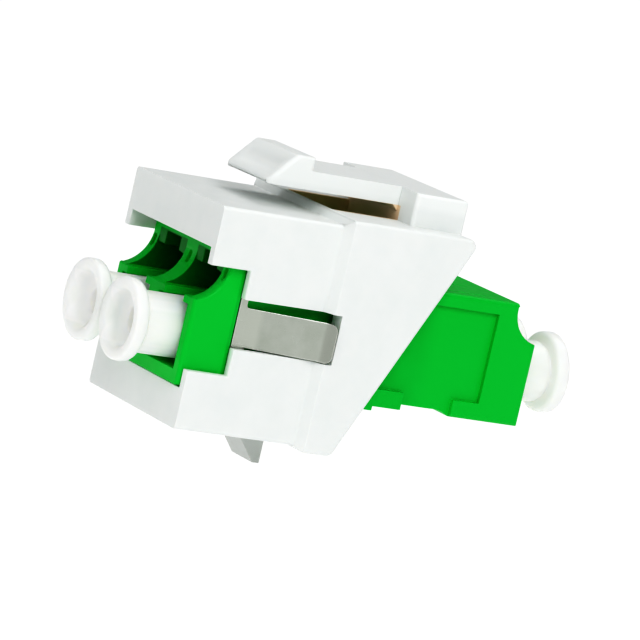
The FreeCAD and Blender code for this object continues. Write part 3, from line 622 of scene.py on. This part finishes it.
@dataclass
class Moulding:
    """One solid of the jack as a finished piece, its facets joined and its hard edges softened."""

    node: str
    body: str
    slot: Slot
    soft_edge: float = 0.05 * MM
    steps: int = 2
    flat_angle: float = math.radians(0.5)
    hard_angle: float = math.radians(38.0)
    smooth_angle: float = math.radians(40.0)
    weld: float = 0.0005 * MM
    flush: float = 0.01 * MM
    overlap: float = 0.02 * MM
    beside_share: float = 0.9
    room_share: float = 2.1
    stray_share: float = 0.4
    wide: tuple[WideRounding, ...] = ()
    cuts: tuple[Box, ...] = ()
    shape: bmesh.types.BMesh | None = field(default=None, repr=False)

    @property
    def name(self) -> str:
        """The finished piece's name."""
        return f"{self.node}_finished"

    def take_over(self) -> None:
        """Copy the solid's mesh, weld its loose triangles and join those that lie flat."""
        self.shape = bmesh.new()
        self.shape.from_mesh(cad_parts[self.node].data)
        bmesh.ops.remove_doubles(self.shape, verts=self.shape.verts, dist=self.weld)
        if self.cuts:
            self.carve()
        bmesh.ops.dissolve_limit(
            self.shape, angle_limit=self.flat_angle, use_dissolve_boundaries=False,
            verts=self.shape.verts, edges=self.shape.edges, delimit=set(),
        )

    def level(self, axis: int, place: float) -> float:
        """The place of the shape's own face beside a cut, so that the two run flush.

        Args:
            axis: The axis, 0 to 2.
            place: Where the cut should be.

        Returns:
            Where the nearest face of the shape is if it is near enough, or else the same place.
        """
        levels = [vertex.co[axis] for vertex in self.shape.verts]
        nearest = min(levels, key=lambda level: abs(level - place))
        return nearest if abs(nearest - place) < self.flush else place

    def cutter(self) -> bmesh.types.BMesh:
        """The boxes that are cut out, as one shape.

        Returns:
            Their shape.
        """
        tool = bmesh.new()
        for corners in self.cuts:
            low, high = (
                Vector([self.level(axis, place) for axis, place in enumerate(corner)])
                for corner in corners
            )
            place = Matrix.Translation((low + high) / 2) @ Matrix.Diagonal((*(high - low), 1.0))
            bmesh.ops.create_cube(tool, size=1.0, matrix=place)
        return tool

    def carve(self) -> None:
        """Cut the boxes out of the shape."""
        tool = self.cutter()
        stock = []
        for name, shape in (("blank", self.shape), ("cutter", tool)):
            mesh = bpy.data.meshes.new(name)
            shape.to_mesh(mesh)
            stock.append(add_object(name, mesh))
        tool.free()
        cut = stock[0].modifiers.new("cut", "BOOLEAN")
        cut.operation = "DIFFERENCE"
        cut.solver = "EXACT"
        cut.object = stock[1]
        carved = stock[0].evaluated_get(bpy.context.evaluated_depsgraph_get())
        self.shape.clear()
        self.shape.from_mesh(carved.to_mesh())
        carved.to_mesh_clear()
        for piece in stock:
            mesh = piece.data
            bpy.data.objects.remove(piece)
            bpy.data.meshes.remove(mesh)
        bmesh.ops.triangulate(self.shape, faces=self.shape.faces)
        bmesh.ops.remove_doubles(self.shape, verts=self.shape.verts, dist=self.weld)
        bmesh.ops.dissolve_degenerate(self.shape, edges=self.shape.edges, dist=self.weld)

    def hard_edges(self) -> list[bmesh.types.BMEdge]:
        """The edges at which two faces meet at a clear angle.

        Returns:
            Those edges.
        """
        return [
            edge for edge in self.shape.edges
            if edge.is_manifold and edge.calc_face_angle(0.0) > self.hard_angle
        ]

    def has_room(
        self, edge: bmesh.types.BMEdge, hard: set[bmesh.types.BMEdge], room: float
    ) -> bool:
        """Whether the faces beside an edge are wide enough for its rounding.

        Args:
            edge: The edge that would be rounded.
            hard: All the edges that would be.
            room: The least distance to the next hard one on the same face.

        Returns:
            False if another edge runs beside it on a face that is too narrow.
        """
        start = edge.verts[0].co
        way = (edge.verts[1].co - start).normalized()
        length = edge.calc_length()
        for face in edge.link_faces:
            for other in face.edges:
                if other is edge or set(other.verts) & set(edge.verts):
                    continue
                ends = [vertex.co - start for vertex in other.verts]
                along = sorted(end.dot(way) for end in ends)
                beside = min((end - way * end.dot(way)).length for end in ends)
                level = abs((ends[1] - ends[0]).normalized().dot(way)) > self.beside_share
                least = room if other in hard else room / 2
                meets = along[1] > self.overlap and along[0] < length - self.overlap
                if level and beside < least and meets:
                    return False
        return True

    def round_off(self, chosen: list[bmesh.types.BMEdge], offset: float) -> None:
        """Round the chosen edges where their faces are wide enough.

        Args:
            chosen: The edges.
            offset: The rounding's reach on each face.
        """
        hard = set(self.hard_edges())
        room = self.room_share * offset
        roomy = [edge for edge in chosen if self.has_room(edge, hard, room)]
        bmesh.ops.bevel(
            self.shape, geom=roomy, offset=offset, offset_type="OFFSET", affect="EDGES",
            segments=self.steps, profile=0.5, material=-1, clamp_overlap=False, loop_slide=True,
        )

    def soften(self) -> None:
        """Round the hard edges a little, as a mould leaves them, and pull stray points back."""
        before = BVHTree.FromBMesh(self.shape)
        for place in self.wide:
            chosen = [edge for edge in self.hard_edges() if place.holds(edge)]
            self.round_off(chosen, place.offset)
        self.round_off(self.hard_edges(), self.soft_edge)
        widest = max([self.soft_edge, *(place.offset for place in self.wide)])
        for vertex in self.shape.verts:
            nearest, _, _, distance = before.find_nearest(vertex.co)
            if distance > self.stray_share * widest:
                vertex.co = nearest

    def finish(self) -> bpy.types.Object:
        """Write the mesh, smooth it, dress it and let it ride on its body.

        Returns:
            The finished piece.
        """
        piece = dress(self.shape, self.name, self.slot, self.smooth_angle)
        self.shape = None
        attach(piece, self.body)
        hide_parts(self.node)
        return piece

    def build(self) -> bpy.types.Object:
        """Make the finished piece.

        Returns:
            The finished piece.
        """
        self.take_over()
        self.soften()
        piece = self.finish()
        log.info("%s: %d faces", piece.name, len(piece.data.polygons))
        return piece


@dataclass
class Lever(Moulding):
    """The latch lever, with rounded corners at its nose and a soft hollow for the finger.

    The solid has a shallow scoop there, whose faces lie less than scoop_reach below the slope.
    """

    nose: Vector = field(default_factory=lambda: Vector(in_mm(0.0, 5.0, 10.12)))
    ridge: Vector = field(default_factory=lambda: Vector(in_mm(0.0, 6.897, 12.111)))
    side: float = 3.5 * MM
    corner: float = 0.65 * MM
    facets: int = 6
    flat: float = 0.002 * MM
    scoop: float = 2.67 * MM
    scoop_reach: float = 0.08 * MM
    rim: float = 0.3 * MM
    ring: float = 0.15 * MM
    drops: tuple[float, ...] = (
        0.012 * MM, 0.035 * MM, 0.06 * MM, 0.065 * MM, 0.05 * MM, 0.025 * MM,
    )

    def take_over(self) -> None:
        """Copy the solid's mesh and shape its tab."""
        super().take_over()
        self.press_hollow()
        for sign in (-1, 1):
            self.round_corner(sign)

    def press_hollow(self) -> None:
        """Make the tab's slope one face and press a soft hollow into it."""
        outwards = Vector((1.0, 0.0, 0.0)).cross(self.ridge - self.nose).normalized()
        slope = []
        for face in self.shape.faces:
            heights = [(vertex.co - self.nose).dot(outwards) for vertex in face.verts]
            widest = max(abs(vertex.co.x) for vertex in face.verts)
            deepest = self.scoop_reach if widest < self.scoop else self.flat
            if -deepest < min(heights) and max(heights) < self.flat:
                slope.append(face)
        slope = bmesh.ops.dissolve_faces(self.shape, faces=slope, use_verts=True)["region"]
        rings = [(self.rim, 0.0), *((self.ring, -drop) for drop in self.drops)]
        for thickness, depth in rings:
            bmesh.ops.inset_region(
                self.shape, faces=slope, thickness=thickness, depth=depth, use_even_offset=True,
            )

    def round_corner(self, sign: int) -> None:
        """Cut a corner of the nose round, facet by facet.

        Args:
            sign: Left or right, -1 or 1.
        """
        middle = Vector((sign * (self.side - self.corner), self.nose.y + self.corner, 0.0))
        for step in range(1, self.facets):
            turn = math.radians(90.0) * step / self.facets
            way = Vector((sign * math.sin(turn), -math.cos(turn), 0.0))
            shape = self.shape
            cut = bmesh.ops.bisect_plane(
                shape, geom=[*shape.verts, *shape.edges, *shape.faces], dist=self.weld,
                plane_co=middle + way * self.corner, plane_no=way, clear_outer=True,
            )["geom_cut"]
            edges = [piece for piece in cut if isinstance(piece, bmesh.types.BMEdge)]
            bmesh.ops.edgeloop_fill(shape, edges=[edge for edge in edges if edge.is_boundary])


@dataclass
class Housing:
    """The white housing with its latch lever."""

    soft_edge: float = 0.05 * MM
    front_edge: float = 0.14 * MM
    front_window: Box = (in_mm(6.8, -0.1, -5.7), in_mm(8.3, 3.4, 5.4))

    def build(self) -> None:
        """Build both white mouldings."""
        front = WideRounding(*self.front_window, self.front_edge)
        Moulding("keystone_housing", "jack", Slot.WHITE, self.soft_edge, wide=(front,)).build()
        Lever("latch_lever", "latch", Slot.WHITE, self.soft_edge).build()


@dataclass
class Adapter:
    """The green duplex adapter: two shells, the steel clip round them and the sleeves inside.

    The notches, bays and hollows are placed in millimetres. The roundings are in metres.
    """

    soft_edge: float = 0.06 * MM
    hollow_edge: float = 0.20 * MM
    thin_edge: float = 0.02 * MM
    strip_edge: float = 0.045 * MM
    notch_width: tuple[float, float] = (5.9, 6.7)
    notch_height: tuple[float, float] = (1.1, 1.78)
    notch_end: float = 4.05
    slack: float = 0.01
    notch_round: float = 0.22 * MM
    band_end: float = 4.7
    port_pitch: float = PORT_PITCH
    channel_width: float = 4.4
    ledge: float = 1.17
    bay_top: float = 6.0
    front_hollow: tuple[float, float] = (-1.0, 2.05)
    rear_hollow: tuple[float, float] = (26.38, 29.5)
    front_rim: Box = (in_mm(6.4, 0.0, 1.2), in_mm(6.5, 2.1, 4.9))
    rear_rim: Box = (in_mm(6.4, 26.2, 1.6), in_mm(6.5, 28.2, 4.6))

    def notches(self) -> tuple[Box, ...]:
        """The boxes that lengthen the clip's slots over its tongues.

        Returns:
            A lower and an upper corner on the left and on the right.
        """
        inner, outer = self.notch_width
        bottom, top = self.notch_height
        return tuple(
            (in_mm(low, self.notch_end, bottom), in_mm(high, self.band_end, top))
            for low, high in ((-outer, -inner), (inner, outer))
        )

    def notch_corners(self) -> tuple[WideRounding, ...]:
        """The round corners at the ends of those slots.

        Returns:
            The lower and the upper one, which hold for both sides.
        """
        inner, outer = self.notch_width
        corners = []
        for height in self.notch_height:
            low = in_mm(inner, self.notch_end - self.slack, height - self.slack)
            high = in_mm(outer, self.notch_end + self.slack, height + self.slack)
            corners.append(WideRounding(low, high, self.notch_round))
        return tuple(corners)

    def bays(self, hollow: tuple[float, float]) -> tuple[Box, ...]:
        """The boxes that widen the latch bays above the ledges of both ports.

        Args:
            hollow: Where the bays begin and end, in millimetres.

        Returns:
            A lower and an upper corner for each port.
        """
        boxes = []
        for sign in (-1, 1):
            middle = sign * self.port_pitch / 2
            low = in_mm(middle - self.channel_width / 2, hollow[0], self.ledge)
            high = in_mm(middle + self.channel_width / 2, hollow[1], self.bay_top)
            boxes.append((low, high))
        return tuple(boxes)

    def build(self) -> None:
        """Build the shells, the clip and the sleeves."""
        shells = (
            ("adapter_front_shell", self.front_rim, self.front_hollow),
            ("adapter_rear_shell", self.rear_rim, self.rear_hollow),
        )
        for node, rim, hollow in shells:
            wide = WideRounding(*rim, self.hollow_edge)
            Moulding(
                node, "jack", Slot.GREEN, self.soft_edge, wide=(wide,), cuts=self.bays(hollow),
            ).build()
        Moulding(
            "spring_clip", "jack", Slot.STEEL, self.strip_edge,
            wide=self.notch_corners(), cuts=self.notches(),
        ).build()
        for side in Side:
            node = f"ceramic_sleeve_{side.value}"
            Moulding(node, "jack", Slot.CERAMIC, self.thin_edge).build()


@dataclass(frozen=True)
class Bend:
    """A corner of a turned outline: its radius, depth and rounding, in millimetres."""

    radius: float
    depth: float
    rounding: float = 0.0

    @property
    def place(self) -> Vector:
        """The corner as a vector of radius and depth."""
        return Vector((self.radius, self.depth))


@dataclass
class DustCap:
    """One dust cap: a rimmed plug, turned about its axis, with a bowl and a hole in its outer face.

    Its sizes are in millimetres.
    """

    end: End
    side: Side
    pitch: float = PORT_PITCH
    axis_height: float = -1.5
    adapter_ends: tuple[float, float] = (-0.25, 28.5)
    stand_outs: tuple[float, float] = (4.0, 3.75)
    length: float = 12.0
    slant: float = math.radians(3.6)
    rim_radius: float = 3.03
    rim: float = 1.1
    neck: float = 0.3
    neck_radius: float = 2.05
    stem_radius: float = 2.28
    bowl_radius: float = 2.22
    bowl: float = 1.3
    bowl_foot: tuple[float, float] = (0.42, 0.28)
    hole_radius: float = 1.0
    hole: float = 3.0
    bore_radius: float = 1.72
    bore_end: float = 4.0
    turns: int = 80
    steps: int = 6
    arm_share: float = 0.45
    weld: float = 0.0005
    smooth_angle: float = math.radians(50.0)

    @property
    def name(self) -> str:
        """The solid's name."""
        return f"dust_cap_{self.end.value}_{self.side.value}"

    def outline(self) -> list[Bend]:
        """The half section's corners, from the hole's bottom over the rim to the bore's end.

        Returns:
            The corners in order.
        """
        behind = self.rim + self.neck
        inset, rise = self.bowl_foot
        return [
            Bend(0.0, self.hole),
            Bend(self.hole_radius, self.hole, 0.15),
            Bend(self.hole_radius, self.bowl, 0.12),
            Bend(self.bowl_radius - inset, self.bowl - rise, 0.45),
            Bend(self.bowl_radius, 0.0, 0.32),
            Bend(self.rim_radius, 0.0, 0.26),
            Bend(self.rim_radius, self.rim, 0.40),
            Bend(self.neck_radius, self.rim, 0.06),
            Bend(self.neck_radius, behind, 0.06),
            Bend(self.stem_radius, behind, 0.10),
            Bend(self.stem_radius, self.length, 0.20),
            Bend(self.bore_radius, self.length, 0.10),
            Bend(self.bore_radius, self.bore_end, 0.10),
            Bend(0.0, self.bore_end),
        ]

    def rounded(self) -> list[Vector]:
        """The half section with its corners rounded.

        Returns:
            Its points of radius and depth.
        """
        corners = self.outline()
        points = [corners[0].place]
        for before, corner, after in zip(corners, corners[1:], corners[2:]):
            arms = []
            for neighbour in (before, after):
                arm = neighbour.place - corner.place
                reach = min(corner.rounding, self.arm_share * arm.length)
                arms.append(corner.place + arm.normalized() * reach)
            if not corner.rounding:
                points.append(corner.place)
                continue
            for step in range(self.steps + 1):
                share = step / self.steps
                start = arms[0] * (1 - share) ** 2
                middle = corner.place * 2 * share * (1 - share)
                points.append(start + middle + arms[1] * share**2)
        points.append(corners[-1].place)
        return points

    def turn(self) -> bmesh.types.BMesh:
        """Spin the half section about the Y axis, its outer end towards -Y in front and +Y behind.

        Returns:
            The cap's shape, in millimetres.
        """
        number = list(End).index(self.end)
        towards = -1 if self.end is End.FRONT else 1
        shape = bmesh.new()
        rim = [
            shape.verts.new((point.x, towards * (self.stand_outs[number] - point.y), 0.0))
            for point in self.rounded()
        ]
        edges = [shape.edges.new(pair) for pair in zip(rim, rim[1:])]
        bmesh.ops.spin(
            shape, geom=rim + edges, cent=(0.0, 0.0, 0.0), axis=(0.0, 1.0, 0.0),
            dvec=(0.0, 0.0, 0.0), angle=math.tau, steps=self.turns,
            use_merge=True, use_normal_flip=False, use_duplicate=False,
        )
        bmesh.ops.remove_doubles(shape, verts=shape.verts, dist=self.weld)
        bmesh.ops.recalc_face_normals(shape, faces=shape.faces)
        return shape

    def seat(self, shape: bmesh.types.BMesh) -> None:
        """Bring the cap to its port, the rear ones leaning on their inner ends.

        Args:
            shape: The cap's shape.
        """
        number = list(End).index(self.end)
        across = self.pitch / 2 * (-1 if self.side is Side.LEFT else 1)
        lean = self.slant if self.end is End.REAR else 0.0
        inside = self.length - self.stand_outs[number]
        along = self.adapter_ends[number] - inside * (1 - math.cos(lean))
        up = self.axis_height + inside * math.sin(lean)
        place = Matrix.Translation((across, along, up)) @ Matrix.Rotation(lean, 4, "X")
        bmesh.ops.transform(shape, matrix=Matrix.Scale(MM, 4) @ place, verts=shape.verts)

    def build(self) -> bpy.types.Object:
        """Make the finished cap.

        Returns:
            The finished cap.
        """
        shape = self.turn()
        self.seat(shape)
        piece = dress(shape, f"{self.name}_finished", Slot.CAP, self.smooth_angle)
        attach(piece, f"cap_{self.end.value}_{self.side.value}")
        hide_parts(self.name)
        log.info("%s: %d faces", piece.name, len(piece.data.polygons))
        return piece


@dataclass
class DustCaps:
    """The four dust caps, each on its own body."""

    def build(self) -> None:
        """Build the caps."""
        for end in End:
            for side in Side:
                DustCap(end, side).build()


@dataclass(frozen=True)
class Lamp:
    """One soft square light: its direction seen from the jack, distance, side and power."""

    name: str
    direction: Place
    distance: float
    size: float
    power: float

    def hang(self, aim: Vector) -> None:
        """Hang the light so that it faces the jack.

        Args:
            aim: The place that it faces.
        """
        lamp = bpy.data.lights.new(self.name, "AREA")
        lamp.shape = "SQUARE"
        lamp.size = self.size
        lamp.energy = self.power
        holder = add_object(self.name, lamp)
        way = Vector(self.direction).normalized()
        holder.location = aim + way * self.distance
        holder.rotation_euler = way.to_track_quat("Z", "Y").to_euler()


@dataclass
class Studio:
    """A plain white table, soft light all round, the camera, and the picture's tones.

    Each tone is a brightness before and after the tone curve.
    """

    table_drop: float = 0.02 * MM
    table_size: float = 3.0
    table_cloud: float = 40 * MM
    table_greys: tuple[float, float] = (0.10, 0.11)
    table_roughness: float = 0.9
    table_glow: float = 0.98
    surrounding_light: float = 0.28
    lamps: tuple[Lamp, ...] = (
        Lamp("side_light", (1.0, -0.2, 0.75), 0.7, 0.40, 2.5),
        Lamp("top_light", (-0.1, 0.3, 1.0), 0.7, 0.45, 1.8),
        Lamp("front_light", (0.2, -1.0, 0.8), 0.7, 0.40, 0.72),
    )
    camera_turn: float = math.radians(60.2224)
    camera_rise: float = math.radians(7.6362)
    camera_roll: float = math.radians(13.0322)
    camera_aim: Place = in_mm(1.592, 12.8625, 0.2969)
    camera_distance: float = 380.655 * MM
    lens: float = 292.94
    sensor: float = 36.0
    clip: tuple[float, float] = (0.01, 20.0)
    tones: tuple[tuple[float, float], ...] = (
        (0.05, 0.012), (0.2, 0.115), (0.5, 0.46), (0.75, 0.75),
    )

    def lay_table(self) -> None:
        """Lay a plain pale table under the jack."""
        mesh = bpy.data.meshes.new("table")
        shape = bmesh.new()
        bmesh.ops.create_grid(shape, x_segments=1, y_segments=1, size=self.table_size / 2)
        lowest = cad_box[0].z - self.table_drop
        bmesh.ops.translate(shape, verts=shape.verts, vec=(0.0, 0.0, lowest))
        shape.to_mesh(mesh)
        shape.free()
        kit = NodeKit("pale_table")
        cloud = kit.noise(self.table_cloud, 2.0)
        share = kit.between(cloud, "Fac")
        first, second = ((grey, grey, grey) for grey in self.table_greys)
        kit.join(kit.tint(share, "Result", first, second), MIX_COLOUR, kit.shader, "Base Color")
        kit.shader.inputs["Roughness"].default_value = self.table_roughness
        kit.shader.inputs["Specular IOR Level"].default_value = 0.0
        kit.shader.inputs["Emission Color"].default_value = (1.0, 1.0, 1.0, 1.0)
        kit.shader.inputs["Emission Strength"].default_value = self.table_glow
        mesh.materials.append(kit.material)
        add_object("table", mesh)

    def light_all(self) -> None:
        """Set the even surrounding light and the three soft lights."""
        world = bpy.data.worlds.new("studio")
        world.use_nodes = True
        sky = world.node_tree.nodes["Background"]
        sky.inputs["Color"].default_value = (1.0, 1.0, 1.0, 1.0)
        sky.inputs["Strength"].default_value = self.surrounding_light
        bpy.context.scene.world = world
        for lamp in self.lamps:
            lamp.hang(Vector(self.camera_aim))

    def set_camera(self) -> None:
        """Place the camera where the picture was taken from."""
        turn, rise = self.camera_turn, self.camera_rise
        level = Vector((math.sin(turn), -math.cos(turn), 0.0))
        back = level * math.cos(rise) + Vector((0.0, 0.0, math.sin(rise)))
        right = Vector((math.cos(turn), math.sin(turn), 0.0))
        up = back.cross(right)
        rolled_right = math.cos(self.camera_roll) * right + math.sin(self.camera_roll) * up
        rolled_up = -math.sin(self.camera_roll) * right + math.cos(self.camera_roll) * up
        lens = bpy.data.cameras.new("camera")
        lens.sensor_width = self.sensor
        lens.lens = self.lens
        lens.clip_start, lens.clip_end = self.clip
        place = Matrix((rolled_right, rolled_up, back)).transposed().to_4x4()
        place.translation = Vector(self.camera_aim) + back * self.camera_distance
        holder = add_object("camera", lens)
        holder.matrix_world = place
        bpy.context.scene.camera = holder

    def set_tones(self) -> None:
        """Set the tone curve."""
        look = bpy.context.scene.view_settings
        look.view_transform = "Standard"
        look.use_curve_mapping = True
        look.curve_mapping.extend = "EXTRAPOLATED"
        curve = look.curve_mapping.curves[BRIGHTNESS_CURVE]
        for before, after in self.tones:
            curve.points.new(before, after)
        look.curve_mapping.update()

    def build(self) -> None:
        """Set up the studio."""
        self.lay_table()
        self.light_all()
        self.set_camera()
        self.set_tones()


def main() -> None:
    """Build the jack and the studio."""
    logging.basicConfig(level=logging.INFO, format="%(message)s")
    mix_finishes()
    Housing().build()
    Adapter().build()
    DustCaps().build()
    Studio().build()


if __name__ == "__main__":
    main()
